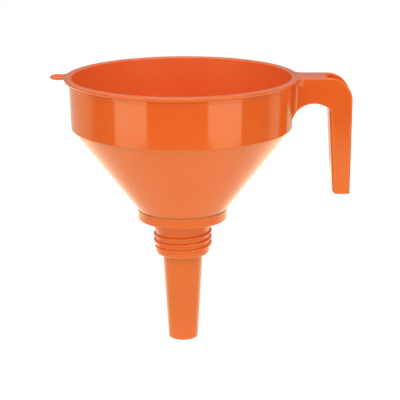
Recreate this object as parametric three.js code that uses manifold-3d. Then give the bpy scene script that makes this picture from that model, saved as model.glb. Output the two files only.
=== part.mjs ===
// Hand-held filling funnel with a side handle, a hanging eye, a threaded neck and a lift-out strainer.
//
// Units are millimetres and +Z is up. The origin is on the funnel's axis, in the plane of the collar's
// underside, which is the face that rests on the mouth of a container. The handle points along +X.

import * as THREE from 'three';
import { mergeVertices } from 'three/addons/utils/BufferGeometryUtils.js';
import Module from 'manifold-3d';

const wasm = await Module();
wasm.setup();

// Rim and band
const RIM_Z = 100.4;
const RIM_RADIUS = 80;
const RIM_THICKNESS = 2.2;
const RIM_EDGE = 0.5;
const LEAD_IN_WIDTH = 0.5;
const LEAD_IN_DEPTH = 0.7;
const BAND_BOTTOM_Z = 65.9;
const BAND_TOP_RADIUS = 76.6;
const BAND_BOTTOM_RADIUS = 75.9;
const WALL = 1.6;

// Cone and collar
const COLLAR_TOP_Z = 7.1;
const COLLAR_RADIUS = 31.4;
const COLLAR_DRAFT = 0.2;
const FLOOR = 1.8;

// Threaded neck
const NECK_RADIUS = 19;
const NECK_BORE_RADIUS = 17.2;
const NECK_BOTTOM_Z = -26.4;
const SHOULDER_ROUND = 3;
const THREAD_CREST_RADIUS = 20.5;
const THREAD_PITCH = 4.4;
const THREAD_TURNS = 3.2;
const THREAD_START_ANGLE = 222.5;
const THREAD_TOP_Z = -7.3;
const THREAD_ROOT_WIDTH = 2.2;
const THREAD_CREST_WIDTH = 0.6;
const THREAD_RUN_OUT = 0.25;

// Spout
const SPOUT_TOP_RADIUS = 14.2;
const SPOUT_TIP_RADIUS = 10.5;
const SPOUT_TIP_Z = -89.1;
const SPOUT_WALL = 1.5;
const SPOUT_FILLET = 1.5;

// Handle
const HANDLE_WIDTH = 23.4;
const HANDLE_WALL = 2;
const HANDLE_ROOT_X = 80.5;
const HANDLE_OUTER_X = 116;
const HANDLE_CORNER_RADIUS = 16;
const GRIP_BOTTOM_Z = 18.8;
const GRIP_INNER_BOTTOM_X = 103.9;
const GRIP_INNER_TOP_X = 99.2;
const GRIP_FOOT_RADIUS = 3;
const ARCH_RADIUS = 15.9;
const ARCH_X = 90.3;
const ARCH_Z = 66.8;
const ARCH_END_Z = 78.8;
const POCKET_START_X = 98.5;

// Hanging eye
const EYE_X = -83.6;
const EYE_RADIUS = 6.2;
const EYE_HOLE_RADIUS = 3;
const EYE_THICKNESS = 2.2;
const EYE_ROOT_X = -80.3;
const EYE_ROOT_WIDTH = 12;

// Strainer
const STRAINER_RADIUS = 28.9;
const STRAINER_HEIGHT = 3;
const STRAINER_SHEET = 0.8;
const STRAINER_LIP_RADIUS = 25.4;
const GAUZE_THICKNESS = 0.8;
const GAUZE_PITCH = 5;
const GAUZE_OPENING = 3.4;
const LOOP_RADIUS = 7;
const LOOP_LEG = 4;
const LOOP_WIRE_RADIUS = 0.8;
const LOOP_PAD_RADIUS = 2.6;
const LOOP_PAD_THICKNESS = 0.6;

// Clearance between loose pieces, and how far a cutting block runs past the face that it cuts
const GAP = 0.3;
const OVERRUN = 1;

// Fineness of the faceted surfaces
const WELD_DISTANCE = 1e-4;
const ROUND_SEGMENTS = 72;
const ARC_STEPS = 3;
const HANDLE_ARC_STEPS = 24;
const EYE_ARC_STEPS = 12;
const THREAD_ROW = 0.5;
const LOOP_BEND_STEPS = 8;
const LOOP_WIRE_STEPS = 24;
const LOOP_WIRE_ARC_STEPS = 4;
const LOOP_PAD_SEGMENTS = 20;

const orangePlastic = new THREE.MeshStandardMaterial({ color: 0xe7602a, roughness: 0.28, metalness: 0 });
const brass = new THREE.MeshStandardMaterial({ color: 0xc9a24b, roughness: 0.35, metalness: 1 });

// A closed mesh as a solid, ready to be joined or cut.
function solid(geometry) {
  const bare = geometry.clone();
  bare.deleteAttribute('normal');
  bare.deleteAttribute('uv');
  const merged = mergeVertices(bare, WELD_DISTANCE);
  const vertProperties = new Float32Array(merged.attributes.position.array);
  const triVerts = new Uint32Array(merged.index.array);
  return new wasm.Manifold(new wasm.Mesh({ numProp: 3, vertProperties, triVerts }));
}

// A solid back as a three.js geometry.
function geometryOf(body) {
  const { vertProperties, triVerts } = body.getMesh();
  const geometry = new THREE.BufferGeometry();
  geometry.setAttribute('position', new THREE.BufferAttribute(vertProperties, 3));
  geometry.setIndex(new THREE.BufferAttribute(triVerts, 1));
  geometry.computeVertexNormals();
  return geometry;
}

function namedMesh(name, geometry, material) {
  const mesh = new THREE.Mesh(geometry, material);
  mesh.name = name;
  return mesh;
}

// Turns a closed outline, drawn as radius and height, round the Z axis.
// The outline runs anticlockwise: down its inner side and up its outer side.
function turned(outline, segments = ROUND_SEGMENTS) {
  const points = outline.getPoints(ARC_STEPS);
  const first = points[0];
  if (points[points.length - 1].distanceTo(first) > 0) points.push(first.clone());
  return new THREE.LatheGeometry(points, segments).rotateX(Math.PI / 2);
}

// A side view, drawn in X and Z, made into a slab of the given width centred on the XZ plane.
function slab(outline, width) {
  const settings = { depth: width, bevelEnabled: false, curveSegments: HANDLE_ARC_STEPS };
  return new THREE.ExtrudeGeometry(outline, settings).rotateX(Math.PI / 2).translate(0, width / 2, 0);
}

// A plan view, drawn in X and Y, raised from one height to another.
function plate(outline, bottom, top) {
  const settings = { depth: top - bottom, bevelEnabled: false, curveSegments: EYE_ARC_STEPS };
  return new THREE.ExtrudeGeometry(outline, settings).translate(0, 0, bottom);
}

function block(low, high) {
  const size = new THREE.Vector3().subVectors(high, low);
  const middle = new THREE.Vector3().addVectors(high, low).multiplyScalar(0.5);
  return new THREE.BoxGeometry(size.x, size.y, size.z).translate(middle.x, middle.y, middle.z);
}

// The cone's wall is measured square to its slope, so its level thickness is larger.
const coneRun = BAND_BOTTOM_RADIUS - COLLAR_RADIUS;
const coneRise = BAND_BOTTOM_Z - COLLAR_TOP_Z;
const coneLevelWall = WALL * Math.hypot(coneRun, coneRise) / coneRise;
const coneTopBore = BAND_BOTTOM_RADIUS - coneLevelWall;
const collarBore = COLLAR_RADIUS - coneLevelWall;

function bandOutline() {
  const outline = new THREE.Path();
  outline.moveTo(RIM_RADIUS - RIM_EDGE, RIM_Z);
  outline.lineTo(BAND_TOP_RADIUS - WALL + LEAD_IN_WIDTH, RIM_Z);
  outline.lineTo(BAND_TOP_RADIUS - WALL, RIM_Z - LEAD_IN_DEPTH);
  outline.lineTo(coneTopBore, BAND_BOTTOM_Z);
  outline.lineTo(BAND_BOTTOM_RADIUS, BAND_BOTTOM_Z);
  outline.lineTo(BAND_TOP_RADIUS, RIM_Z - RIM_THICKNESS);
  outline.lineTo(RIM_RADIUS - RIM_EDGE, RIM_Z - RIM_THICKNESS);
  outline.lineTo(RIM_RADIUS, RIM_Z - RIM_THICKNESS + RIM_EDGE);
  outline.lineTo(RIM_RADIUS, RIM_Z - RIM_EDGE);
  outline.lineTo(RIM_RADIUS - RIM_EDGE, RIM_Z);
  return outline;
}

function archAngleAt(x) {
  return Math.acos((x - ARCH_X) / ARCH_RADIUS);
}

// The short stretch of the handle's bridge that is moulded onto the band: top, two cheeks, open below.
function handleRoot() {
  const innerX = BAND_BOTTOM_RADIUS - WALL / 2;
  const side = new THREE.Shape();
  side.absarc(ARCH_X, ARCH_Z, ARCH_RADIUS, archAngleAt(innerX), archAngleAt(HANDLE_ROOT_X), true);
  side.lineTo(HANDLE_ROOT_X, RIM_Z);
  side.lineTo(innerX, RIM_Z);
  const channel = block(
    new THREE.Vector3(BAND_TOP_RADIUS, HANDLE_WALL - HANDLE_WIDTH / 2, ARCH_Z),
    new THREE.Vector3(HANDLE_ROOT_X + OVERRUN, HANDLE_WIDTH / 2 - HANDLE_WALL, RIM_Z - HANDLE_WALL),
  );
  return solid(slab(side, HANDLE_WIDTH)).subtract(solid(channel));
}

// The flat web between the rim and the eye.
function eyeRoot() {
  return solid(block(
    new THREE.Vector3(EYE_ROOT_X, -EYE_ROOT_WIDTH / 2, RIM_Z - EYE_THICKNESS),
    new THREE.Vector3(WALL / 2 - BAND_TOP_RADIUS, EYE_ROOT_WIDTH / 2, RIM_Z),
  ));
}

function rimBand() {
  return geometryOf(solid(turned(bandOutline())).add(handleRoot()).add(eyeRoot()));
}

function cone() {
  const outline = new THREE.Path();
  outline.moveTo(coneTopBore, BAND_BOTTOM_Z);
  outline.lineTo(collarBore, COLLAR_TOP_Z);
  outline.lineTo(COLLAR_RADIUS, COLLAR_TOP_Z);
  outline.lineTo(BAND_BOTTOM_RADIUS, BAND_BOTTOM_Z);
  return turned(outline);
}

// Short upright ring with a flat floor, which the strainer lies on and the neck hangs from.
function collar() {
  const outline = new THREE.Path();
  outline.moveTo(collarBore, COLLAR_TOP_Z);
  outline.lineTo(collarBore, FLOOR);
  outline.lineTo(NECK_BORE_RADIUS, FLOOR);
  outline.lineTo(NECK_BORE_RADIUS, 0);
  outline.lineTo(NECK_RADIUS, 0);
  outline.lineTo(COLLAR_RADIUS - COLLAR_DRAFT, 0);
  outline.lineTo(COLLAR_RADIUS, COLLAR_TOP_Z);
  return turned(outline);
}

// How far the thread stands out of the neck at a given angle and height. It is a right-hand,
// single-start ridge that rises out of the neck and sinks back into it at its two ends.
function threadRise(angle, z) {
  const firstTurn = (THREE.MathUtils.degToRad(THREAD_START_ANGLE) - angle) / (2 * Math.PI);
  const depth = (THREAD_TOP_Z - z) / THREAD_PITCH;
  const turn = firstTurn + Math.round(depth - firstTurn);
  const fromEnd = Math.min(turn, THREAD_TURNS - turn);
  const fade = THREE.MathUtils.smoothstep(fromEnd, 0, THREAD_RUN_OUT);
  const offset = Math.abs(depth - turn) * THREAD_PITCH;
  const flank = (THREAD_ROOT_WIDTH / 2 - offset) / (THREAD_ROOT_WIDTH / 2 - THREAD_CREST_WIDTH / 2);
  return fade * THREE.MathUtils.clamp(flank, 0, 1) * (THREAD_CREST_RADIUS - NECK_RADIUS);
}

// The neck's section at one angle: down its bore to the spout, then up its outside.
function neckSection(angle) {
  const spoutBore = SPOUT_TOP_RADIUS - SPOUT_WALL;
  const shoulderX = NECK_RADIUS - SHOULDER_ROUND;
  const section = new THREE.Path();
  section.moveTo(NECK_BORE_RADIUS, 0);
  section.lineTo(NECK_BORE_RADIUS, NECK_BOTTOM_Z + NECK_BORE_RADIUS - spoutBore);
  section.lineTo(spoutBore, NECK_BOTTOM_Z);
  section.lineTo(shoulderX, NECK_BOTTOM_Z);
  section.absarc(shoulderX, NECK_BOTTOM_Z + SHOULDER_ROUND, SHOULDER_ROUND, -Math.PI / 2, 0, false);
  const threadHeight = THREAD_PITCH * THREAD_TURNS + THREAD_ROOT_WIDTH;
  const rows = Math.round(threadHeight / THREAD_ROW);
  for (let i = 0; i <= rows; i += 1) {
    const z = THREAD_TOP_Z + THREAD_ROOT_WIDTH / 2 - threadHeight * (1 - i / rows);
    section.lineTo(NECK_RADIUS + threadRise(angle, z), z);
  }
  section.lineTo(NECK_RADIUS, 0);
  return section.getPoints(ARC_STEPS);
}

// The sections at every angle, joined into one closed skin.
function threadedNeck() {
  const positions = [];
  const indices = [];
  const count = neckSection(0).length;
  for (let i = 0; i < ROUND_SEGMENTS; i += 1) {
    const angle = 2 * Math.PI * i / ROUND_SEGMENTS;
    for (const { x: radius, y: height } of neckSection(angle)) {
      positions.push(radius * Math.cos(angle), radius * Math.sin(angle), height);
    }
    for (let j = 0; j < count; j += 1) {
      const here = i * count;
      const next = ((i + 1) % ROUND_SEGMENTS) * count;
      const after = (j + 1) % count;
      indices.push(here + j, next + j, here + after, here + after, next + j, next + after);
    }
  }
  const geometry = new THREE.BufferGeometry();
  geometry.setAttribute('position', new THREE.Float32BufferAttribute(positions, 3));
  geometry.setIndex(indices);
  geometry.computeVertexNormals();
  return geometry;
}

function spout() {
  const tipBore = SPOUT_TIP_RADIUS - SPOUT_WALL;
  const topRadius = SPOUT_TOP_RADIUS + SPOUT_FILLET;
  const outline = new THREE.Path();
  outline.moveTo(SPOUT_TOP_RADIUS - SPOUT_WALL, NECK_BOTTOM_Z);
  outline.lineTo(tipBore, SPOUT_TIP_Z);
  outline.lineTo(SPOUT_TIP_RADIUS - RIM_EDGE, SPOUT_TIP_Z);
  outline.lineTo(SPOUT_TIP_RADIUS, SPOUT_TIP_Z + RIM_EDGE);
  outline.lineTo(SPOUT_TOP_RADIUS, NECK_BOTTOM_Z - SPOUT_FILLET);
  outline.absarc(topRadius, NECK_BOTTOM_Z - SPOUT_FILLET, SPOUT_FILLET, Math.PI, Math.PI / 2, true);
  return turned(outline);
}

function gripInnerX(z) {
  const drop = (RIM_Z - z) / (RIM_Z - GRIP_BOTTOM_Z);
  return THREE.MathUtils.lerp(GRIP_INNER_TOP_X, GRIP_INNER_BOTTOM_X, drop);
}

// Bridge and grip in side view: flat top, round outer corner, leaning inner face and arch.
function handleSide() {
  const cornerX = HANDLE_OUTER_X - HANDLE_CORNER_RADIUS;
  const cornerZ = RIM_Z - HANDLE_CORNER_RADIUS;
  const footZ = GRIP_BOTTOM_Z + GRIP_FOOT_RADIUS;
  const archStart = Math.acos((gripInnerX(ARCH_END_Z) - ARCH_X) / ARCH_RADIUS);
  const side = new THREE.Shape();
  side.absarc(ARCH_X, ARCH_Z, ARCH_RADIUS, archAngleAt(HANDLE_ROOT_X), archStart, true);
  side.lineTo(gripInnerX(footZ), footZ);
  side.absarc(gripInnerX(footZ) + GRIP_FOOT_RADIUS, footZ, GRIP_FOOT_RADIUS, Math.PI, 1.5 * Math.PI, false);
  side.lineTo(HANDLE_OUTER_X, GRIP_BOTTOM_Z);
  side.absarc(cornerX, cornerZ, HANDLE_CORNER_RADIUS, 0, Math.PI / 2, false);
  side.lineTo(HANDLE_ROOT_X, RIM_Z);
  return side;
}

// The hollow of the grip, open upwards through the round corner and closed at the foot.
function gripPocket() {
  const innerX = (z) => gripInnerX(z) + HANDLE_WALL;
  const radius = ARCH_RADIUS + HANDLE_WALL;
  const archEnd = Math.acos((innerX(ARCH_END_Z) - ARCH_X) / radius);
  const floorZ = GRIP_BOTTOM_Z + HANDLE_WALL;
  const aboveZ = RIM_Z + OVERRUN;
  const side = new THREE.Shape();
  side.absarc(ARCH_X, ARCH_Z, radius, Math.acos((POCKET_START_X - ARCH_X) / radius), archEnd, true);
  side.lineTo(innerX(floorZ), floorZ);
  side.lineTo(HANDLE_OUTER_X - HANDLE_WALL, floorZ);
  side.lineTo(HANDLE_OUTER_X - HANDLE_WALL, aboveZ);
  side.lineTo(POCKET_START_X, aboveZ);
  return solid(slab(side, HANDLE_WIDTH - 2 * HANDLE_WALL));
}

// The hollow of the bridge, open below into the arch.
function bridgeHollow() {
  return solid(block(
    new THREE.Vector3(HANDLE_ROOT_X - OVERRUN, HANDLE_WALL - HANDLE_WIDTH / 2, ARCH_Z),
    new THREE.Vector3(POCKET_START_X - HANDLE_WALL, HANDLE_WIDTH / 2 - HANDLE_WALL, RIM_Z - HANDLE_WALL),
  ));
}

function handle() {
  const whole = solid(slab(handleSide(), HANDLE_WIDTH));
  return geometryOf(whole.subtract(gripPocket()).subtract(bridgeHollow()));
}

function hangingEye() {
  const halfRoot = EYE_ROOT_WIDTH / 2;
  const rootAngle = Math.asin(halfRoot / EYE_RADIUS);
  const outline = new THREE.Shape();
  outline.absarc(EYE_X, 0, EYE_RADIUS, rootAngle, 2 * Math.PI - rootAngle, false);
  outline.lineTo(EYE_ROOT_X, -halfRoot);
  outline.lineTo(EYE_ROOT_X, halfRoot);
  const hole = new THREE.Path();
  hole.absarc(EYE_X, 0, EYE_HOLE_RADIUS, 0, 2 * Math.PI, true);
  outline.holes.push(hole);
  return plate(outline, RIM_Z - EYE_THICKNESS, RIM_Z);
}

const strainerBottom = FLOOR + GAP;
const strainerTop = strainerBottom + STRAINER_HEIGHT;
const gauzeBottom = strainerBottom + STRAINER_SHEET + GAP;
const gauzeTop = gauzeBottom + GAUZE_THICKNESS;

// Sheet ring folded over the edge of the gauze, so its section is a channel that opens inwards.
function strainerRing() {
  const wallRadius = STRAINER_RADIUS - STRAINER_SHEET;
  const outline = new THREE.Path();
  outline.moveTo(STRAINER_LIP_RADIUS, strainerBottom);
  outline.lineTo(STRAINER_RADIUS, strainerBottom);
  outline.lineTo(STRAINER_RADIUS, strainerTop);
  outline.lineTo(STRAINER_LIP_RADIUS, strainerTop);
  outline.lineTo(STRAINER_LIP_RADIUS, strainerTop - STRAINER_SHEET);
  outline.lineTo(wallRadius, strainerTop - STRAINER_SHEET);
  outline.lineTo(wallRadius, strainerBottom + STRAINER_SHEET);
  outline.lineTo(STRAINER_LIP_RADIUS, strainerBottom + STRAINER_SHEET);
  return turned(outline);
}

// Wire cloth drawn as a flat disc with square meshes, coarser than the real weave.
function gauze() {
  const radius = STRAINER_RADIUS - STRAINER_SHEET - GAP;
  const reach = Math.floor(STRAINER_LIP_RADIUS / GAUZE_PITCH);
  const opening = new THREE.BoxGeometry(GAUZE_OPENING, GAUZE_OPENING, GAUZE_THICKNESS + 2 * OVERRUN);
  const middle = (gauzeBottom + gauzeTop) / 2;
  const disc = new THREE.CylinderGeometry(radius, radius, GAUZE_THICKNESS, ROUND_SEGMENTS);
  let cloth = solid(disc.rotateX(Math.PI / 2).translate(0, 0, middle));
  for (let i = -reach; i <= reach; i += 1) {
    for (let j = -reach; j <= reach; j += 1) {
      const x = i * GAUZE_PITCH;
      const y = j * GAUZE_PITCH;
      if (Math.hypot(x, y) + GAUZE_OPENING > STRAINER_LIP_RADIUS) continue;
      cloth = cloth.subtract(solid(opening.clone().translate(x, y, middle)));
    }
  }
  return geometryOf(cloth);
}

// Wire loop that stands on two round pads in the middle of the gauze.
function liftLoop() {
  const padBottom = gauzeTop + GAP;
  const padTop = padBottom + LOOP_PAD_THICKNESS;
  const legTop = padTop + LOOP_LEG;
  const route = new THREE.CurvePath();
  const bend = new THREE.CatmullRomCurve3(Array.from({ length: LOOP_BEND_STEPS + 1 }, (unused, i) => {
    const angle = Math.PI * (1 - i / LOOP_BEND_STEPS);
    return new THREE.Vector3(LOOP_RADIUS * Math.cos(angle), 0, legTop + LOOP_RADIUS * Math.sin(angle));
  }));
  const foot = (x) => new THREE.Vector3(x, 0, padBottom + LOOP_PAD_THICKNESS / 2);
  route.add(new THREE.LineCurve3(foot(-LOOP_RADIUS), bend.getPoint(0)));
  route.add(bend);
  route.add(new THREE.LineCurve3(bend.getPoint(1), foot(LOOP_RADIUS)));
  const wire = new THREE.Shape();
  wire.absarc(0, 0, LOOP_WIRE_RADIUS, 0, 2 * Math.PI, false);
  let loop = solid(new THREE.ExtrudeGeometry(wire, {
    steps: LOOP_WIRE_STEPS,
    curveSegments: LOOP_WIRE_ARC_STEPS,
    bevelEnabled: false,
    extrudePath: route,
  }));
  for (const x of [-LOOP_RADIUS, LOOP_RADIUS]) {
    const radius = LOOP_PAD_RADIUS;
    const pad = new THREE.CylinderGeometry(radius, radius, LOOP_PAD_THICKNESS, LOOP_PAD_SEGMENTS);
    pad.rotateX(Math.PI / 2).translate(x, 0, (padBottom + padTop) / 2);
    loop = loop.add(solid(pad));
  }
  return geometryOf(loop);
}

const moulding = new THREE.Group();
moulding.add(namedMesh('rim_band', rimBand(), orangePlastic));
moulding.add(namedMesh('cone', cone(), orangePlastic));
moulding.add(namedMesh('collar', collar(), orangePlastic));
moulding.add(namedMesh('threaded_neck', threadedNeck(), orangePlastic));
moulding.add(namedMesh('spout', spout(), orangePlastic));
moulding.add(namedMesh('handle', handle(), orangePlastic));
moulding.add(namedMesh('hanging_eye', hangingEye(), orangePlastic));

const strainer = new THREE.Group();
strainer.add(namedMesh('strainer_ring', strainerRing(), brass));
strainer.add(namedMesh('strainer_gauze', gauze(), brass));
strainer.add(namedMesh('strainer_lift_loop', liftLoop(), brass));

const funnel = new THREE.Group();
funnel.add(moulding, strainer);

export default funnel;
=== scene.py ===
import math

import bpy
import numpy as np
from mathutils import Matrix, Vector


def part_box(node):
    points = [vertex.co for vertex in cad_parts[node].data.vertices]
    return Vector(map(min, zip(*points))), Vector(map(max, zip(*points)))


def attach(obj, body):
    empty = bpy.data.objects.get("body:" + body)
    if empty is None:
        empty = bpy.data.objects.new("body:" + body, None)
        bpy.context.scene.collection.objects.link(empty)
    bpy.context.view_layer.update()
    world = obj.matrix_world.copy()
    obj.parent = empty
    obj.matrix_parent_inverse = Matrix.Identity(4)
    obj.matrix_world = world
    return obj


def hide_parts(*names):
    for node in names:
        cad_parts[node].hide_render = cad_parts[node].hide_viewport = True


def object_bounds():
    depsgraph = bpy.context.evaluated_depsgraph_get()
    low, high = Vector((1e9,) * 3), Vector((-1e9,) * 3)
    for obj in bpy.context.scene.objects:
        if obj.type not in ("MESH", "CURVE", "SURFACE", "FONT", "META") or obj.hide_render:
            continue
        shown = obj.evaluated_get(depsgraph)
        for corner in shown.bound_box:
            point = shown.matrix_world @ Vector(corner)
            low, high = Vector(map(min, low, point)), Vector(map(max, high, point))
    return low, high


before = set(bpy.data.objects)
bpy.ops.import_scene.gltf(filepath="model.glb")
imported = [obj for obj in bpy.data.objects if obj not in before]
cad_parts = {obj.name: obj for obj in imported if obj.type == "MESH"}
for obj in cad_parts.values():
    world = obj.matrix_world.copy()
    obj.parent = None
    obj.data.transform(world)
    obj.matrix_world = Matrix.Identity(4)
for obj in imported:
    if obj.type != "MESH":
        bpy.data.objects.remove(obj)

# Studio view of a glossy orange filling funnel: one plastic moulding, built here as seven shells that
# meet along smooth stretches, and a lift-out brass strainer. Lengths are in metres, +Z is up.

cad_low, cad_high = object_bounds()

# Sizes read from the frame
RIM_LOW, RIM_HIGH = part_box("rim_band")
_, CONE_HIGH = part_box("cone")
_, COLLAR_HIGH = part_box("collar")
NECK_LOW, NECK_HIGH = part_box("threaded_neck")
SPOUT_LOW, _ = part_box("spout")
HANDLE_LOW, HANDLE_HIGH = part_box("handle")
EYE_LOW, EYE_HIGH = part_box("hanging_eye")
RING_LOW, RING_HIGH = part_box("strainer_ring")
GAUZE_LOW, GAUZE_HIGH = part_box("strainer_gauze")
LOOP_LOW, LOOP_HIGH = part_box("strainer_lift_loop")

# Rim and band
RIM_RADIUS = RIM_HIGH.y
RIM_Z = RIM_HIGH.z
FLANGE_THICKNESS = 0.0022
FLANGE_OVERHANG = 0.0034
FLANGE_ROUND = 0.001
FLANGE_FILLET = 0.0012
LEAD_IN_WIDTH = 0.0005
LEAD_IN_DEPTH = 0.0007
LEAD_IN_TOP_ROUND = 0.0002
LEAD_IN_FOOT_ROUND = 0.0003
STRIP_HEIGHT = 0.003
STRIP_STEP = 0.0003
STRIP_FOOT_ROUND = 0.0001
STRIP_EDGE_ROUND = 0.0002
BAND_OUTER_ROUND = 0.0006
BAND_INNER_ROUND = 0.0012
BAND_TOP_RADIUS = RIM_RADIUS - FLANGE_OVERHANG
BAND_BOTTOM_RADIUS = CONE_HIGH.y
BAND_BOTTOM_Z = RIM_LOW.z
WALL = 0.0016

# Cone and collar
COLLAR_TOP_Z = COLLAR_HIGH.z
COLLAR_RADIUS = COLLAR_HIGH.y
COLLAR_DRAFT = 0.0002
COLLAR_LEDGE = 0.0002
COLLAR_TOP_ROUND = 0.0003
COLLAR_FOOT_ROUND = 0.0004
SEAT_TOP_ROUND = 0.001
SEAT_FOOT_ROUND = 0.0006
SEAT_HOLE_ROUND = 0.0005
FLOOR_THICKNESS = 0.0018
INNER_FACE_DEPTH = 0.00045

# Threaded neck
NECK_RADIUS = 0.019
NECK_BORE = 0.0172
NECK_ROOT_FILLET = 0.0009
THROAT_ROUND = 0.001
NECK_BOTTOM_Z = NECK_LOW.z
SHOULDER_ROUND = 0.003
THREAD_HEIGHT = NECK_HIGH.y - NECK_RADIUS
THREAD_PITCH = 0.0044
THREAD_TURNS = 3.2
THREAD_START = math.radians(222.5)
THREAD_TOP_Z = -0.0073
THREAD_ROOT_WIDTH = 0.0022
THREAD_CREST_WIDTH = 0.0009
THREAD_RUN_OUT = 0.25

# Spout
SPOUT_TOP_RADIUS = 0.0142
SPOUT_TIP_RADIUS = 0.0105
SPOUT_TIP_Z = SPOUT_LOW.z
SPOUT_WALL = 0.0015
SPOUT_FILLET = 0.0015
TIP_ROUND = 0.0006
TIP_BORE_ROUND = 0.0003

# Heights at which one shell ends and the next begins, each on a straight stretch of the wall
BAND_CONE_Z = BAND_BOTTOM_Z - 0.001
CONE_COLLAR_Z = COLLAR_TOP_Z + 0.0012
COLLAR_NECK_Z = -0.0014
NECK_SPOUT_Z = NECK_BOTTOM_Z - 0.003

# Handle
HANDLE_HALF_WIDTH = HANDLE_HIGH.y
HANDLE_OUTER_X = HANDLE_HIGH.x
HANDLE_CORNER = 0.016
HANDLE_WALL = 0.002
HANDLE_DRAFT = 0.025
HANDLE_EDGE = 0.0009
GRIP_BOTTOM_Z = HANDLE_LOW.z
GRIP_INNER_TOP_X = 0.0992
GRIP_INNER_BOTTOM_X = 0.1039
GRIP_INNER_EDGE = 0.0026
GRIP_OUTER_EDGE = 0.0016
GRIP_FOOT_ROUND = 0.003
ARCH_RADIUS = 0.0159
ARCH_X = 0.0903
ARCH_Z = 0.0668
ARCH_EDGE = 0.0004
ROOT_FILLET = 0.004
ROOT_END_X = 0.086
ROOT_DEPTH = 0.0006
ROOT_SINK = 0.00002
DIP_RADIUS = RIM_RADIUS - 0.0004
DIP_SLOPE = 0.5
POCKET_START_X = 0.0985
POCKET_ROUND = 0.0024
POCKET_MOUTH_EDGE = 0.0009
CHANNEL_END_X = POCKET_START_X - HANDLE_WALL
CHANNEL_ROUND = 0.001

# Hanging eye
EYE_RADIUS = EYE_HIGH.y
EYE_X = EYE_LOW.x + EYE_RADIUS
EYE_HOLE = 0.003
EYE_THICKNESS = EYE_HIGH.z - EYE_LOW.z
EYE_EDGE = 0.0008
EYE_FILLET = 0.003
EYE_ROOT_DEPTH = 0.0012
EYE_WEB_HALF_WIDTH = 0.95 * EYE_RADIUS

# Strainer
SHEET = 0.0008
RING_LIP = 0.0254
RING_FOLD = 0.0007
RING_EDGE = 0.0003
RING_CORNER = 0.0002
WIRE_PITCH = 0.0013
WIRE_RADIUS = 0.00017
WIRE_SWING = 1.1 * WIRE_RADIUS
LOOP_WIRE_RADIUS = 0.0008
LOOP_PAD_RADIUS = LOOP_HIGH.y
LOOP_RADIUS = LOOP_HIGH.x - LOOP_PAD_RADIUS
PAD_CORE = 0.0002
PAD_NECK_RADIUS = 1.6 * LOOP_WIRE_RADIUS
PAD_TOP_RADIUS = 0.98 * LOOP_WIRE_RADIUS
PAD_EDGE_HEIGHT = 0.00035
PAD_DOME_HEIGHT = 0.0003
PAD_HEIGHT = 0.0015
PAD_FOOT_ROUND = 0.0001
PAD_EDGE_ROUND = 0.0002
PAD_FILLET = 0.0012

# Fineness
SEGMENTS = 224
ARC_STEP = math.radians(12)
SUPPORT = 0.00015
LONGEST_ROW = 0.006
THREAD_ROW = 0.00022
HANDLE_CELL = 0.0006
EYE_CELL = 0.0003
STEPS_PER_CROSSING = 6
WIRE_SIDES = 6
LOOP_SIDES = 16
LOOP_BEND_POINTS = 33
LOOP_LEG_POINTS = 8

# Boxes in which the handle and the eye are meshed: room round them, and reach into the bowl's wall
HANDLE_MARGIN = 0.002
HANDLE_REACH_IN = 0.006
EYE_MARGIN = 0.001
EYE_REACH_IN = 0.003


# ---------------------------------------------------------------- mesh tools

def new_mesh(name, vertices, faces, smooth_angle=math.radians(40)):
    mesh = bpy.data.meshes.new(name)
    mesh.from_pydata([tuple(v) for v in vertices], [], [tuple(f) for f in faces])
    mesh.validate()
    mesh.polygons.foreach_set("use_smooth", [True] * len(mesh.polygons))
    mesh.set_sharp_from_angle(angle=smooth_angle)
    piece = bpy.data.objects.new(name, mesh)
    bpy.context.scene.collection.objects.link(piece)
    return piece


def straight(start, end, longest):
    """Points after start, up to and including end, no further apart than longest."""
    count = max(1, math.ceil((end - start).length / longest))
    return [start.lerp(end, i / count) for i in range(1, count + 1)]


def corner_arc(before, corner, after, radius):
    """The arc that rounds a corner, with a support point beside each of its ends."""
    arrive, leave = (corner - before).normalized(), (after - corner).normalized()
    turn = arrive.angle_signed(leave)
    reach = radius * math.tan(abs(turn) / 2)
    start, end = corner - arrive * reach, corner + leave * reach
    side = Vector((-arrive.y, arrive.x)) * (-radius if turn > 0 else radius)
    centre = start + side
    steps = max(2, math.ceil(abs(turn) / ARC_STEP))
    arc = []
    for i in range(steps + 1):
        spin = Matrix.Rotation(-turn * i / steps, 2)
        arc.append(centre + spin @ (start - centre))
    return [start - arrive * SUPPORT, *arc, end + leave * SUPPORT]


def outline(corners, longest=LONGEST_ROW):
    """A closed outline of points (radius, height) from corners (radius, height, rounding)."""
    places = [Vector(c[:2]) for c in corners]
    runs = []
    for i, (_, _, rounding) in enumerate(corners):
        before, after = places[i - 1], places[(i + 1) % len(places)]
        runs.append(corner_arc(before, places[i], after, rounding) if rounding else [places[i]])
    points = []
    for i, run in enumerate(runs):
        points += run
        points += straight(run[-1], runs[(i + 1) % len(runs)][0], longest)[:-1]
    return np.array(points)


def revolve(name, points, swell=None):
    """A closed shell: the outline turned round the Z axis. swell adds to the radius at an angle."""
    angles = np.arange(SEGMENTS) * 2 * math.pi / SEGMENTS
    radius = np.tile(points[:, 0], (SEGMENTS, 1))
    height = np.tile(points[:, 1], (SEGMENTS, 1))
    around = np.tile(angles[:, None], (1, len(points)))
    if swell is not None:
        radius = radius + swell(around, radius, height)
    vertices = np.stack([radius * np.cos(around), radius * np.sin(around), height], axis=-1)
    index = np.arange(SEGMENTS * len(points)).reshape(SEGMENTS, len(points))
    ahead, after = np.roll(index, -1, axis=0), np.roll(index, -1, axis=1)
    across = np.roll(ahead, -1, axis=1)
    faces = np.stack([index, ahead, across, after], axis=-1).reshape(-1, 4)
    return new_mesh(name, vertices.reshape(-1, 3), faces)


# ------------------------------------------------------------- implicit solids
# A field gives each point's distance to a surface, negative inside.

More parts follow.
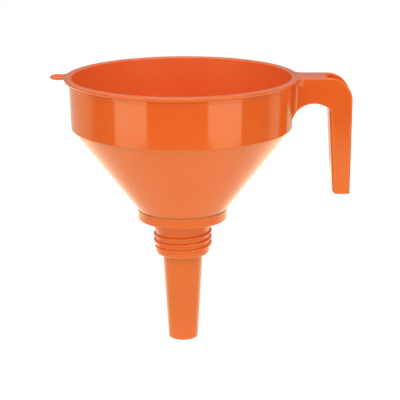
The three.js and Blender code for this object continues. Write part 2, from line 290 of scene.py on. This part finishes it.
def both(a, b, rounding=0.0):
    """What two solids share, with a rounded edge."""
    if not rounding:
        return np.maximum(a, b)
    beyond = np.hypot(np.maximum(a + rounding, 0), np.maximum(b + rounding, 0))
    return np.minimum(np.maximum(a, b), -rounding) + beyond


def either(a, b, fillet=0.0):
    """Two solids joined, with a round fillet between them."""
    return -both(-a, -b, fillet)


def project(field, points, rounds):
    """Moves points onto the field's zero surface along its gradient."""
    nudge = 1e-6
    for _ in range(rounds):
        value = field(points)
        slopes = [field(points + nudge * axis) - field(points - nudge * axis) for axis in np.eye(3)]
        gradient = np.stack(slopes, axis=-1) / (2 * nudge)
        steepness = np.maximum((gradient ** 2).sum(-1), 0.1)
        points = points - gradient * (value / steepness)[:, None]
    return points


def cell_faces(inside, index):
    """One quad round each grid edge that crosses the surface."""
    faces = []
    for axis in range(3):
        second, third = (axis + 1) % 3, (axis + 2) % 3
        last = inside.shape[axis] - 1
        here = np.take(inside, np.arange(last), axis)
        beyond = np.take(inside, np.arange(1, last + 1), axis)
        edges = np.argwhere(here != beyond)
        back, down = np.eye(3, dtype=int)[second], np.eye(3, dtype=int)[third]
        ring = [edges - back - down, edges - down, edges, edges - back]
        quads = np.stack([index[tuple(r.T)] for r in ring], axis=1)
        outward = here[tuple(edges.T)]
        faces.append(np.where(outward[:, None], quads, quads[:, ::-1]))
    return np.concatenate(faces)


def relax(points, faces, field, rounds):
    """Evens out the quads: each point moves to the middle of its neighbours, then back to the surface."""
    ends = np.concatenate([faces, np.roll(faces, -1, axis=1)]).reshape(2, -1)
    for _ in range(rounds):
        total, count = np.zeros_like(points), np.zeros(len(points))
        for a, b in (ends, ends[::-1]):
            np.add.at(total, a, points[b])
            np.add.at(count, a, 1)
        points = project(field, total / count[:, None], 2)
    return points


def solid_from_field(name, field, low, high, cell):
    """A closed, all-quad mesh of the solid in a box."""
    low, high = np.array(low, float), np.array(high, float)
    counts = np.ceil((high - low) / cell).astype(int) + 1
    axes = [low[i] + cell * np.arange(counts[i]) for i in range(3)]
    inside = field(np.stack(np.meshgrid(*axes, indexing="ij"), axis=-1)) < 0
    corners = sum(
        inside[i:i + counts[0] - 1, j:j + counts[1] - 1, k:k + counts[2] - 1].astype(int)
        for i in (0, 1) for j in (0, 1) for k in (0, 1)
    )
    mixed = (corners > 0) & (corners < 8)
    index = np.full(mixed.shape, -1)
    index[mixed] = np.arange(mixed.sum())
    points = low + (np.argwhere(mixed) + 0.5) * cell
    faces = cell_faces(inside, index)
    points = relax(project(field, points, 4), faces, field, 4)
    return new_mesh(name, points, faces)


# -------------------------------------------------------------------- moulding

CONE_SLOPE = (BAND_BOTTOM_RADIUS - (COLLAR_RADIUS - COLLAR_LEDGE)) / (BAND_BOTTOM_Z - COLLAR_TOP_Z)
CONE_LEVEL_WALL = WALL * math.hypot(1, CONE_SLOPE)
BAND_SLOPE = (BAND_TOP_RADIUS - BAND_BOTTOM_RADIUS) / (RIM_Z - FLANGE_THICKNESS - BAND_BOTTOM_Z)
SPOUT_SLOPE = (SPOUT_TOP_RADIUS - SPOUT_TIP_RADIUS) / (NECK_BOTTOM_Z - SPOUT_TIP_Z)


def band_radius(z):
    return BAND_BOTTOM_RADIUS + BAND_SLOPE * (z - BAND_BOTTOM_Z)


def cone_radius(z):
    return BAND_BOTTOM_RADIUS + CONE_SLOPE * (z - BAND_BOTTOM_Z)


def spout_radius(z):
    return SPOUT_TOP_RADIUS + SPOUT_SLOPE * (z - NECK_BOTTOM_Z)


def rim_band():
    flange_z = RIM_Z - FLANGE_THICKNESS
    strip_z = flange_z - STRIP_HEIGHT
    strip_radius = band_radius(strip_z) + STRIP_STEP
    bore = BAND_TOP_RADIUS - WALL
    return revolve("rim_band_shell", outline([
        (cone_radius(BAND_CONE_Z), BAND_CONE_Z, 0),
        (BAND_BOTTOM_RADIUS, BAND_BOTTOM_Z, BAND_OUTER_ROUND),
        (band_radius(strip_z), strip_z, STRIP_FOOT_ROUND),
        (strip_radius, strip_z + STRIP_STEP, STRIP_EDGE_ROUND),
        (strip_radius, flange_z, FLANGE_FILLET),
        (RIM_RADIUS, flange_z, FLANGE_ROUND),
        (RIM_RADIUS, RIM_Z, FLANGE_ROUND),
        (bore + LEAD_IN_WIDTH, RIM_Z, LEAD_IN_TOP_ROUND),
        (bore, RIM_Z - LEAD_IN_DEPTH, LEAD_IN_FOOT_ROUND),
        (BAND_BOTTOM_RADIUS - CONE_LEVEL_WALL, BAND_BOTTOM_Z, BAND_INNER_ROUND),
        (cone_radius(BAND_CONE_Z) - CONE_LEVEL_WALL, BAND_CONE_Z, 0),
    ]))


def cone():
    return revolve("cone_shell", outline([
        (cone_radius(CONE_COLLAR_Z), CONE_COLLAR_Z, 0),
        (cone_radius(BAND_CONE_Z), BAND_CONE_Z, 0),
        (cone_radius(BAND_CONE_Z) - CONE_LEVEL_WALL, BAND_CONE_Z, 0),
        (cone_radius(CONE_COLLAR_Z) - CONE_LEVEL_WALL, CONE_COLLAR_Z, 0),
    ]))


def collar():
    bore = COLLAR_RADIUS - COLLAR_LEDGE - CONE_LEVEL_WALL
    return revolve("collar_shell", outline([
        (NECK_RADIUS, COLLAR_NECK_Z, 0),
        (NECK_RADIUS, 0, NECK_ROOT_FILLET),
        (COLLAR_RADIUS - COLLAR_DRAFT, 0, COLLAR_FOOT_ROUND),
        (COLLAR_RADIUS, COLLAR_TOP_Z - COLLAR_LEDGE, COLLAR_TOP_ROUND),
        (COLLAR_RADIUS - COLLAR_LEDGE, COLLAR_TOP_Z, COLLAR_TOP_ROUND),
        (cone_radius(CONE_COLLAR_Z), CONE_COLLAR_Z, 0),
        (cone_radius(CONE_COLLAR_Z) - CONE_LEVEL_WALL, CONE_COLLAR_Z, 0),
        (bore, COLLAR_TOP_Z, SEAT_TOP_ROUND),
        (bore, FLOOR_THICKNESS, SEAT_FOOT_ROUND),
        (NECK_BORE, FLOOR_THICKNESS, SEAT_HOLE_ROUND),
        (NECK_BORE, COLLAR_NECK_Z, 0),
    ]))


def ease(t):
    return t * t * (3 - 2 * t)


def thread_rise(angle, radius, height):
    """A right-hand single-start ridge that grows out of the neck and sinks back at both ends."""
    first = (THREAD_START - angle) / (2 * math.pi)
    depth = (THREAD_TOP_Z - height) / THREAD_PITCH
    turn = first + np.round(depth - first)
    from_end = np.clip(np.minimum(turn, THREAD_TURNS - turn) / THREAD_RUN_OUT, 0, 1)
    flank = THREAD_ROOT_WIDTH / 2 - np.abs(depth - turn) * THREAD_PITCH
    flank = np.clip(flank / (THREAD_ROOT_WIDTH / 2 - THREAD_CREST_WIDTH / 2), 0, 1)
    outside = np.abs(radius - NECK_RADIUS) < (NECK_RADIUS - NECK_BORE) / 2
    return ease(from_end) * ease(flank) * THREAD_HEIGHT * outside


def threaded_neck():
    throat = spout_radius(NECK_BOTTOM_Z) - SPOUT_WALL
    return revolve("threaded_neck_shell", outline([
        (spout_radius(NECK_SPOUT_Z), NECK_SPOUT_Z, 0),
        (SPOUT_TOP_RADIUS, NECK_BOTTOM_Z, SPOUT_FILLET),
        (NECK_RADIUS, NECK_BOTTOM_Z, SHOULDER_ROUND),
        (NECK_RADIUS, COLLAR_NECK_Z, 0),
        (NECK_BORE, COLLAR_NECK_Z, 0),
        (NECK_BORE, NECK_BOTTOM_Z + NECK_BORE - throat, THROAT_ROUND),
        (throat, NECK_BOTTOM_Z, THROAT_ROUND),
        (spout_radius(NECK_SPOUT_Z) - SPOUT_WALL, NECK_SPOUT_Z, 0),
    ], THREAD_ROW), thread_rise)


def spout():
    return revolve("spout_shell", outline([
        (SPOUT_TIP_RADIUS, SPOUT_TIP_Z, TIP_ROUND),
        (spout_radius(NECK_SPOUT_Z), NECK_SPOUT_Z, 0),
        (spout_radius(NECK_SPOUT_Z) - SPOUT_WALL, NECK_SPOUT_Z, 0),
        (SPOUT_TIP_RADIUS - SPOUT_WALL, SPOUT_TIP_Z, TIP_BORE_ROUND),
    ]))


def flush_top(reach, z):
    """Height above the rim's plane, which dips just inside the rim's edge to pass under the flange's top."""
    return z - RIM_Z + DIP_SLOPE * np.maximum(DIP_RADIUS - reach, 0)


def handle_field(points):
    x, y, z = np.moveaxis(points, -1, 0)
    lean = (GRIP_INNER_TOP_X - GRIP_INNER_BOTTOM_X) / (RIM_Z - GRIP_BOTTOM_Z)
    cheek = np.abs(y) - HANDLE_HALF_WIDTH + HANDLE_DRAFT * (RIM_Z - z)
    back = both(z - RIM_Z, x - HANDLE_OUTER_X, HANDLE_CORNER)
    inner = (GRIP_INNER_TOP_X + lean * (z - RIM_Z) - x) / math.hypot(1, lean)
    foot = GRIP_BOTTOM_Z - z
    arch = np.hypot(x - ARCH_X, z - ARCH_Z) - ARCH_RADIUS

    # Bridge, with the fillets that run it into the band and the flange, and a channel under it
    reach = np.hypot(x, y)
    flange = both(reach - RIM_RADIUS, RIM_Z - FLANGE_THICKNESS - z)
    bowl = either(reach - band_radius(z), flange) + ROOT_SINK
    root = both(either(cheek, bowl, ROOT_FILLET), flush_top(reach, z), HANDLE_EDGE)
    root = np.maximum.reduce([root, x - ROOT_END_X, band_radius(z) - ROOT_DEPTH - reach])
    root = both(root, cheek - ROOT_FILLET)
    bridge = both(both(back, cheek, HANDLE_EDGE), ROOT_END_X - HANDLE_EDGE - x)
    bridge = both(either(bridge, root), ARCH_Z - z)
    channel = both(cheek + HANDLE_WALL, z - RIM_Z + HANDLE_WALL, CHANNEL_ROUND)
    channel = both(channel, x - CHANNEL_END_X, CHANNEL_ROUND)
    bridge = both(both(bridge, -channel), -arch, ARCH_EDGE)

    # Grip, with a pocket that is open upwards through the round corner and closed at the foot
    grip = np.maximum.reduce([
        both(inner, cheek, GRIP_INNER_EDGE),
        both(back, cheek, GRIP_OUTER_EDGE),
        both(inner, foot, GRIP_FOOT_ROUND),
        both(foot, cheek, HANDLE_EDGE),
        both(foot, back, HANDLE_EDGE),
    ])
    fingers = either(arch, both(-inner, z - ARCH_Z))
    pocket = np.maximum.reduce([
        both(POCKET_START_X - x, cheek + HANDLE_WALL, POCKET_ROUND),
        both(x - HANDLE_OUTER_X + HANDLE_WALL, cheek + HANDLE_WALL, POCKET_ROUND / 2),
        HANDLE_WALL - fingers,
        foot + HANDLE_WALL,
    ])
    return both(either(bridge, grip), -pocket, POCKET_MOUTH_EDGE)


def handle():
    side = HANDLE_HALF_WIDTH + ROOT_FILLET + HANDLE_MARGIN
    low = (band_radius(ARCH_Z) - HANDLE_REACH_IN, -side, GRIP_BOTTOM_Z - HANDLE_MARGIN)
    high = (HANDLE_OUTER_X + HANDLE_MARGIN, side, RIM_Z + HANDLE_MARGIN)
    return solid_from_field("handle_shell", handle_field, low, high, HANDLE_CELL)


def eye_field(points):
    x, y, z = np.moveaxis(points, -1, 0)
    reach = np.hypot(x, y)
    from_middle = np.hypot(x - EYE_X, y)
    web = both(np.abs(y) - EYE_WEB_HALF_WIDTH, EYE_X - x)
    plan = either(either(from_middle - EYE_RADIUS, web), reach - RIM_RADIUS + ROOT_SINK, EYE_FILLET)
    plan = np.maximum.reduce([
        plan, EYE_HOLE - from_middle, RIM_RADIUS - EYE_ROOT_DEPTH - reach,
        np.abs(y) - EYE_RADIUS - EYE_FILLET,
    ])
    level = both(flush_top(reach, z), RIM_Z - EYE_THICKNESS - z)
    return both(plan, level, EYE_EDGE)


def hanging_eye():
    side = EYE_RADIUS + EYE_FILLET + EYE_MARGIN
    low = (EYE_LOW.x - EYE_MARGIN, -side, EYE_LOW.z - EYE_MARGIN)
    high = (EYE_REACH_IN - RIM_RADIUS, side, RIM_Z + EYE_MARGIN)
    return solid_from_field("hanging_eye_loop", eye_field, low, high, EYE_CELL)


# -------------------------------------------------------------------- strainer

def tube(route, radius, sides):
    """Vertices and faces of a closed, flat-ended tube. Its route is nearly level or in an XZ plane."""
    route = np.array(route, float)
    along = np.gradient(route, axis=0)
    along /= np.linalg.norm(along, axis=1)[:, None]
    in_xz_plane = np.ptp(route[:, 1]) == 0
    first = np.cross((0, 1, 0) if in_xz_plane else (0, 0, 1), along)
    first /= np.linalg.norm(first, axis=1)[:, None]
    second = np.cross(along, first)
    spin = np.arange(sides) * 2 * math.pi / sides
    ring = first[:, None] * np.cos(spin)[:, None] + second[:, None] * np.sin(spin)[:, None]
    vertices = (route[:, None] + radius * ring).reshape(-1, 3)
    faces = []
    for i in range(len(route) - 1):
        for j in range(sides):
            k = (j + 1) % sides
            faces.append((i * sides + j, i * sides + k, (i + 1) * sides + k, (i + 1) * sides + j))
    last = (len(route) - 1) * sides
    faces.append(tuple(range(sides))[::-1])
    faces.append(tuple(range(last, last + sides)))
    return vertices, faces


def joined(name, parts):
    vertices, faces = [], []
    for part_vertices, part_faces in parts:
        start = len(vertices)
        vertices += [tuple(v) for v in part_vertices]
        faces += [tuple(start + i for i in f) for f in part_faces]
    return new_mesh(name, vertices, faces)


def strainer_ring():
    outer, low, high = RING_HIGH.y, RING_LOW.z, RING_HIGH.z
    wall = outer - SHEET
    return revolve("strainer_ring_rolled", outline([
        (RING_LIP, low, RING_EDGE),
        (outer, low, RING_FOLD),
        (outer, high, RING_FOLD),
        (RING_LIP, high, RING_EDGE),
        (RING_LIP, high - SHEET, RING_EDGE),
        (wall, high - SHEET, RING_CORNER),
        (wall, low + SHEET, RING_CORNER),
        (RING_LIP, low + SHEET, RING_EDGE),
    ]))


def woven_wire(position, span, flip, crosswise):
    """One wire of plain weave: it passes over and under the wires that it crosses."""
    count = max(4, round(2 * span / WIRE_PITCH * STEPS_PER_CROSSING))
    along = np.linspace(-span, span, count)
    middle = (GAUZE_LOW.z + GAUZE_HIGH.z) / 2
    height = middle + flip * WIRE_SWING * np.cos(math.pi * along / WIRE_PITCH)
    across = np.full(count, position)
    route = [across, along, height] if crosswise else [along, across, height]
    return tube(np.stack(route, axis=1), WIRE_RADIUS, WIRE_SIDES)


def gauze():
    radius = GAUZE_HIGH.y - WIRE_RADIUS
    reach = int(radius / WIRE_PITCH)
    wires = []
    for i in range(-reach, reach + 1):
        position = i * WIRE_PITCH
        span = math.sqrt(radius ** 2 - position ** 2)
        flip = 1 if i % 2 else -1
        wires.append(woven_wire(position, span, flip, False))
        wires.append(woven_wire(position, span, -flip, True))
    return joined("strainer_gauze_woven", wires)


def lift_loop():
    foot_z = LOOP_LOW.z
    top_z = LOOP_HIGH.z - LOOP_WIRE_RADIUS
    spring_z = top_z - LOOP_RADIUS
    bend = [(LOOP_RADIUS * math.cos(a), 0, spring_z + LOOP_RADIUS * math.sin(a))
            for a in np.linspace(0, math.pi, LOOP_BEND_POINTS)]
    right = [(LOOP_RADIUS, 0, z) for z in np.linspace(foot_z, spring_z, LOOP_LEG_POINTS)[:-1]]
    left = [(-x, y, z) for x, y, z in right[::-1]]
    return new_mesh("strainer_lift_loop_wire", *tube(right + bend + left, LOOP_WIRE_RADIUS, LOOP_SIDES))


def solder_pad(name, x):
    """A low dome of solder that runs up the wire it holds."""
    foot_z = LOOP_LOW.z
    edge_z = foot_z + PAD_EDGE_HEIGHT
    top_z = edge_z + PAD_HEIGHT
    pad = revolve(name, outline([
        (PAD_CORE, foot_z, 0),
        (LOOP_PAD_RADIUS, foot_z, PAD_FOOT_ROUND),
        (LOOP_PAD_RADIUS, edge_z, PAD_EDGE_ROUND),
        (PAD_NECK_RADIUS, edge_z + PAD_DOME_HEIGHT, PAD_FILLET),
        (PAD_TOP_RADIUS, top_z, 0),
        (PAD_CORE, top_z, 0),
    ]))
    pad.data.transform(Matrix.Translation((x, 0, 0)))
    return pad


# ------------------------------------------------------------------- materials

# Noise values mostly lie between these two
NOISE_LOW = 0.3
NOISE_HIGH = 0.7

# Pairs of linear RGB colours that the noise runs between
PLASTIC_OUTSIDE = ((0.80, 0.128, 0.012), (0.83, 0.137, 0.015))
# The inside pair is paler than the outside pair: painted light, a paler tone that stands in for the light
# filling the bowl.
PLASTIC_INSIDE_PAINTED_LIGHT = ((0.83, 0.158, 0.030), (0.86, 0.168, 0.034))
BRASS_SHEET = ((0.70, 0.47, 0.17), (0.80, 0.58, 0.26))
BRASS_WIRE = ((0.62, 0.42, 0.16), (0.76, 0.55, 0.25))

OUTSIDE_ROUGHNESS = (0.07, 0.11)
INSIDE_ROUGHNESS = 0.35
SHEET_ROUGHNESS = (0.24, 0.38)
WIRE_ROUGHNESS = (0.29, 0.43)


def feed(tree, socket, value):
    """Feeds a socket from another node's output, or with a constant."""
    if hasattr(value, "is_output"):
        tree.links.new(value, socket)
    else:
        socket.default_value = value


def blend_range(tree, value, start, end, low, high):
    """A number that eases from low to high while value goes from start to end. Each may be a socket."""
    node = tree.nodes.new("ShaderNodeMapRange")
    node.interpolation_type = "SMOOTHSTEP"
    for name, number in (("From Min", start), ("From Max", end), ("To Min", low), ("To Max", high)):
        feed(tree, node.inputs[name], number)
    tree.links.new(value, node.inputs["Value"])
    return node.outputs["Result"]


class Nodes:
    """Short names for building a node material."""

    def __init__(self, name):
        self.material = bpy.data.materials.new(name)
        self.material.use_nodes = True
        self.tree = self.material.node_tree
        self.shader = self.tree.nodes["Principled BSDF"]
        coordinates = self.tree.nodes.new("ShaderNodeTexCoord")
        self.position = coordinates.outputs["Object"]

    def link(self, source, target):
        self.tree.links.new(source, target)

    def noise(self, scale, detail, roughness=0.5):
        node = self.tree.nodes.new("ShaderNodeTexNoise")
        node.inputs["Scale"].default_value = scale
        node.inputs["Detail"].default_value = detail
        node.inputs["Roughness"].default_value = roughness
        self.link(self.position, node.inputs["Vector"])
        return node.outputs["Fac"]

    def ramp(self, value, low, high):
        """A noise value becomes a colour between low and high."""
        node = self.tree.nodes.new("ShaderNodeValToRGB")
        node.color_ramp.elements[0].position = NOISE_LOW
        node.color_ramp.elements[0].color = (*low, 1)
        node.color_ramp.elements[1].position = NOISE_HIGH
        node.color_ramp.elements[1].color = (*high, 1)
        self.link(value, node.inputs["Fac"])
        return node.outputs["Color"]

    def spread(self, value, low, high):
        """A noise value becomes a number from low to high."""
        node = self.tree.nodes.new("ShaderNodeMapRange")
        node.inputs["From Min"].default_value = NOISE_LOW
        node.inputs["From Max"].default_value = NOISE_HIGH
        node.inputs["To Min"].default_value = low
        node.inputs["To Max"].default_value = high
        self.link(value, node.inputs["Value"])
        return node.outputs["Result"]

    def math(self, operation, first, second=0):
        node = self.tree.nodes.new("ShaderNodeMath")
        node.operation = operation
        for socket, value in zip(node.inputs, (first, second)):
            feed(self.tree, socket, value)
        return node.outputs["Value"]

    def mix(self, amount, first, second):
        """The first colour where amount is 0, the second where it is 1."""
        node = self.tree.nodes.new("ShaderNodeMix")
        node.data_type = "RGBA"
        self.link(amount, node.inputs["Factor"])
        sockets = {s.identifier: s for s in (*node.inputs, *node.outputs)}
        feed(self.tree, sockets["A_Color"], first)
        feed(self.tree, sockets["B_Color"], second)
        return sockets["Result_Color"]

    def bump(self, value, distance, strength, before=None):
        node = self.tree.nodes.new("ShaderNodeBump")
        node.inputs["Distance"].default_value = distance
        node.inputs["Strength"].default_value = strength
        self.link(value, node.inputs["Height"])
        if before is not None:
            self.link(before, node.inputs["Normal"])
        return node.outputs["Normal"]

    def set(self, name, value):
        feed(self.tree, self.shader.inputs[name], value)


# Masks the bowl's inner faces, which get the paler painted light and the duller roughness.
def bowl_inside(nodes):
    """1 on the inner faces of the band, cone and collar, 0 on every other face."""
    position = nodes.tree.nodes.new("ShaderNodeSeparateXYZ")
    nodes.link(nodes.position, position.inputs["Vector"])
    across = nodes.math("POWER", position.outputs["X"], 2)
    along = nodes.math("POWER", position.outputs["Y"], 2)
    reach = nodes.math("SQRT", nodes.math("ADD", across, along))
    wall = nodes.tree.nodes.new("ShaderNodeMapRange")
    wall.inputs["From Min"].default_value = COLLAR_TOP_Z
    wall.inputs["From Max"].default_value = BAND_BOTTOM_Z
    wall.inputs["To Min"].default_value = COLLAR_RADIUS
    wall.inputs["To Max"].default_value = BAND_BOTTOM_RADIUS
    nodes.link(position.outputs["Z"], wall.inputs["Value"])
    depth = nodes.math("SUBTRACT", wall.outputs["Result"], reach)
    inner = nodes.math("GREATER_THAN", depth, INNER_FACE_DEPTH)
    above_neck = nodes.math("GREATER_THAN", position.outputs["Z"], FLOOR_THICKNESS)
    return nodes.math("MULTIPLY", inner, above_neck)


def moulded_plastic():
    """Glossy outside; inside the bowl it is duller, from wiping and from what is poured through, and its
    colour is paler: that paler colour is painted light standing in for the light inside the bowl.
    """
    nodes = Nodes("moulded_plastic")
    tone = nodes.noise(scale=18, detail=2)
    inside = bowl_inside(nodes)
    outer, inner = nodes.ramp(tone, *PLASTIC_OUTSIDE), nodes.ramp(tone, *PLASTIC_INSIDE_PAINTED_LIGHT)
    # Painted light: the bowl's inner faces take the paler inside colour, a stand-in for the light inside the
    # bowl.
    nodes.set("Base Color", nodes.mix(inside, outer, inner))
    gloss = nodes.spread(nodes.noise(scale=140, detail=4), *OUTSIDE_ROUGHNESS)
    nodes.set("Roughness", blend_range(nodes.tree, inside, 0, 1, gloss, INSIDE_ROUGHNESS))
    peel = nodes.bump(nodes.noise(scale=420, detail=2), distance=0.0001, strength=0.12)
    sink = nodes.bump(nodes.noise(scale=60, detail=1), distance=0.0004, strength=0.06, before=peel)
    nodes.set("Normal", sink)
    nodes.set("IOR", 1.5)
    nodes.set("Specular IOR Level", 0.95)
    nodes.set("Specular Tint", (1.0, 1.0, 0.6, 1.0))
    nodes.set("Subsurface Weight", 0.6)
    nodes.set("Subsurface Radius", (1.0, 0.35, 0.12))
    nodes.set("Subsurface Scale", 0.003)
    return nodes.material


def brass(name, colours, roughness):
    nodes = Nodes(name)
    nodes.set("Base Color", nodes.ramp(nodes.noise(scale=260, detail=4), *colours))
    nodes.set("Roughness", nodes.spread(nodes.noise(scale=700, detail=5), *roughness))
    nodes.set("Normal", nodes.bump(nodes.noise(scale=1600, detail=3), distance=0.0001, strength=0.1))
    nodes.set("Metallic", 1.0)
    return nodes.material


# ------------------------------------------------------------------ assemblies

def place(piece, body, slot, material, *nodes):
    piece.data.materials.append(material)
    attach(piece, body)
    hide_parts(*nodes)


def build_object():
    plastic = moulded_plastic()
    sheet = brass("brass_sheet", BRASS_SHEET, SHEET_ROUGHNESS)
    wire = brass("brass_wire", BRASS_WIRE, WIRE_ROUGHNESS)
    shells = {
        "rim_band": rim_band,
        "cone": cone,
        "collar": collar,
        "threaded_neck": threaded_neck,
        "spout": spout,
        "handle": handle,
        "hanging_eye": hanging_eye,
    }
    for node, shell in shells.items():
        place(shell(), "funnel", "funnel_plastic", plastic, node)
    place(strainer_ring(), "strainer", "strainer_brass", sheet, "strainer_ring")
    place(gauze(), "strainer", "gauze_brass", wire, "strainer_gauze")
    place(lift_loop(), "strainer", "strainer_brass", sheet, "strainer_lift_loop")
    for name, x in (("solder_pad_left", -LOOP_RADIUS), ("solder_pad_right", LOOP_RADIUS)):
        place(solder_pad(name, x), "strainer", "strainer_brass", sheet)


# ----------------------------------------------------------------------- stage

CAMERA_DISTANCE = 0.88
CAMERA_ELEVATION = math.radians(10.285)
CAMERA_AZIMUTH = math.radians(1.6)
CAMERA_LENS = 115.5
CAMERA_ROLL = math.radians(-0.21)
AIM_OFFSET = Vector((-0.0008, 0, 0.0063))
WHITE = (1, 1, 1, 1)

# The floor's glow: near and far from the funnel, and in front of it and behind it
FLOOR_REACH = 6.0
FLOOR_DROP = 0.25
FLOOR_COLOUR = (1.0, 0.97, 0.75, 1)
FLOOR_EDGE = (1.35, 1.5)
FLOOR_BACK = (0.1, 0.6)
NEAR_FRONT_LIGHT = 1.02
NEAR_BACK_LIGHT = 1.6
FAR_FRONT_LIGHT = 0.24
FAR_BACK_LIGHT = 0.8

# The room's light, and the directions between which it changes
TOP_LIGHT = 0.85
FRONT_LIGHT = 0.26
BACK_LIGHT = 0.36
ROOM_BACK = (-0.3, 0.3)
ROOM_TOP = (0.15, 0.6)

# Lamps, with azimuths in degrees from the front
LEFT_AZIMUTH = -50.5
RIGHT_AZIMUTH = 45
SIDE_DISTANCE = 1.3
SIDE_Z = 0.06
SIDE_SIZE = (0.84, 0.7)
LEFT_POWER = 2.5
RIGHT_POWER = 2.7
KEY_DISTANCE = 1.13
KEY_Z = 1.23
KEY_SIZE = (1.6, 1.2)
KEY_POWER = 10.5


def camera():
    rim_centre = Vector((0, 0, RIM_Z))
    back = Vector((
        math.sin(CAMERA_AZIMUTH) * math.cos(CAMERA_ELEVATION),
        -math.cos(CAMERA_AZIMUTH) * math.cos(CAMERA_ELEVATION),
        math.sin(CAMERA_ELEVATION),
    ))
    middle = (cad_low + cad_high) / 2
    aim = Vector((middle.x, 0, middle.z)) + AIM_OFFSET
    view = bpy.data.objects.new("camera", bpy.data.cameras.new("camera"))
    view.location = rim_centre + back * CAMERA_DISTANCE
    facing = (aim - view.location).to_track_quat("-Z", "Y").to_matrix()
    view.rotation_euler = (facing @ Matrix.Rotation(CAMERA_ROLL, 3, "Z")).to_euler()
    view.data.lens = CAMERA_LENS
    bpy.context.scene.collection.objects.link(view)
    bpy.context.scene.camera = view


def softbox(name, position, size, power, facing_z):
    """A rectangular lamp at (azimuth, distance, height) that faces the axis at the height facing_z."""
    azimuth, distance, z = position
    light = bpy.data.lights.new(name, "AREA")
    light.shape = "RECTANGLE"
    light.size, light.size_y = size
    light.energy = power
    lamp = bpy.data.objects.new(name, light)
    angle = math.radians(azimuth)
    lamp.location = (distance * math.sin(angle), -distance * math.cos(angle), z)
    target = Vector((0, 0, facing_z))
    lamp.rotation_euler = (target - lamp.location).to_track_quat("-Z", "Y").to_euler()
    bpy.context.scene.collection.objects.link(lamp)


def surroundings():
    """White to the camera; to everything else a room that is brightest overhead."""
    world = bpy.data.worlds.new("studio")
    bpy.context.scene.world = world
    world.use_nodes = True
    tree = world.node_tree
    background = tree.nodes["Background"]
    background.inputs["Color"].default_value = WHITE
    path = tree.nodes.new("ShaderNodeLightPath")
    coordinates = tree.nodes.new("ShaderNodeTexCoord")
    direction = tree.nodes.new("ShaderNodeSeparateXYZ")
    tree.links.new(coordinates.outputs["Generated"], direction.inputs["Vector"])
    walls = blend_range(tree, direction.outputs["Y"], *ROOM_BACK, FRONT_LIGHT, BACK_LIGHT)
    room = blend_range(tree, direction.outputs["Z"], *ROOM_TOP, walls, TOP_LIGHT)
    level = blend_range(tree, path.outputs["Is Camera Ray"], 0, 1, room, 1.0)
    tree.links.new(level, background.inputs["Strength"])


def floor_material():
    """White to the camera, clear from below; its glow is brightest near the funnel and behind it."""
    nodes = Nodes("pale_floor")
    tree = nodes.tree
    tree.nodes.remove(nodes.shader)
    path = tree.nodes.new("ShaderNodeLightPath")
    geometry = tree.nodes.new("ShaderNodeNewGeometry")
    distance = tree.nodes.new("ShaderNodeVectorMath")
    distance.operation = "LENGTH"
    nodes.link(nodes.position, distance.inputs[0])
    position = tree.nodes.new("ShaderNodeSeparateXYZ")
    nodes.link(nodes.position, position.inputs["Vector"])
    near = blend_range(tree, position.outputs["Y"], *FLOOR_BACK, NEAR_FRONT_LIGHT, NEAR_BACK_LIGHT)
    far = blend_range(tree, position.outputs["Y"], *FLOOR_BACK, FAR_FRONT_LIGHT, FAR_BACK_LIGHT)
    whole = blend_range(tree, distance.outputs["Value"], *FLOOR_EDGE, near, far)
    level = blend_range(tree, path.outputs["Is Camera Ray"], 0, 1, whole, 1.0)
    glow = tree.nodes.new("ShaderNodeEmission")
    nodes.link(nodes.mix(path.outputs["Is Camera Ray"], FLOOR_COLOUR, WHITE), glow.inputs["Color"])
    nodes.link(level, glow.inputs["Strength"])
    clear = tree.nodes.new("ShaderNodeBsdfTransparent")
    choose = tree.nodes.new("ShaderNodeMixShader")
    nodes.link(geometry.outputs["Backfacing"], choose.inputs["Fac"])
    nodes.link(glow.outputs["Emission"], choose.inputs[1])
    nodes.link(clear.outputs["BSDF"], choose.inputs[2])
    nodes.link(choose.outputs["Shader"], tree.nodes["Material Output"].inputs["Surface"])
    return nodes.material


def floor():
    reach = FLOOR_REACH
    corners = [(-reach, -reach, 0), (reach, -reach, 0), (reach, reach, 0), (-reach, reach, 0)]
    ground = new_mesh("floor", corners, [(0, 1, 2, 3)])
    ground.location.z = cad_low.z - FLOOR_DROP
    ground.data.materials.append(floor_material())


def studio():
    camera()
    floor()
    surroundings()
    softbox("softbox_left", (LEFT_AZIMUTH, SIDE_DISTANCE, SIDE_Z), SIDE_SIZE, LEFT_POWER, SIDE_Z)
    softbox("softbox_right", (RIGHT_AZIMUTH, SIDE_DISTANCE, SIDE_Z), SIDE_SIZE, RIGHT_POWER, SIDE_Z)
    softbox("key_light", (0, KEY_DISTANCE, KEY_Z), KEY_SIZE, KEY_POWER, RIM_Z)
    bpy.context.scene.view_settings.view_transform = "Standard"


studio()
build_object()
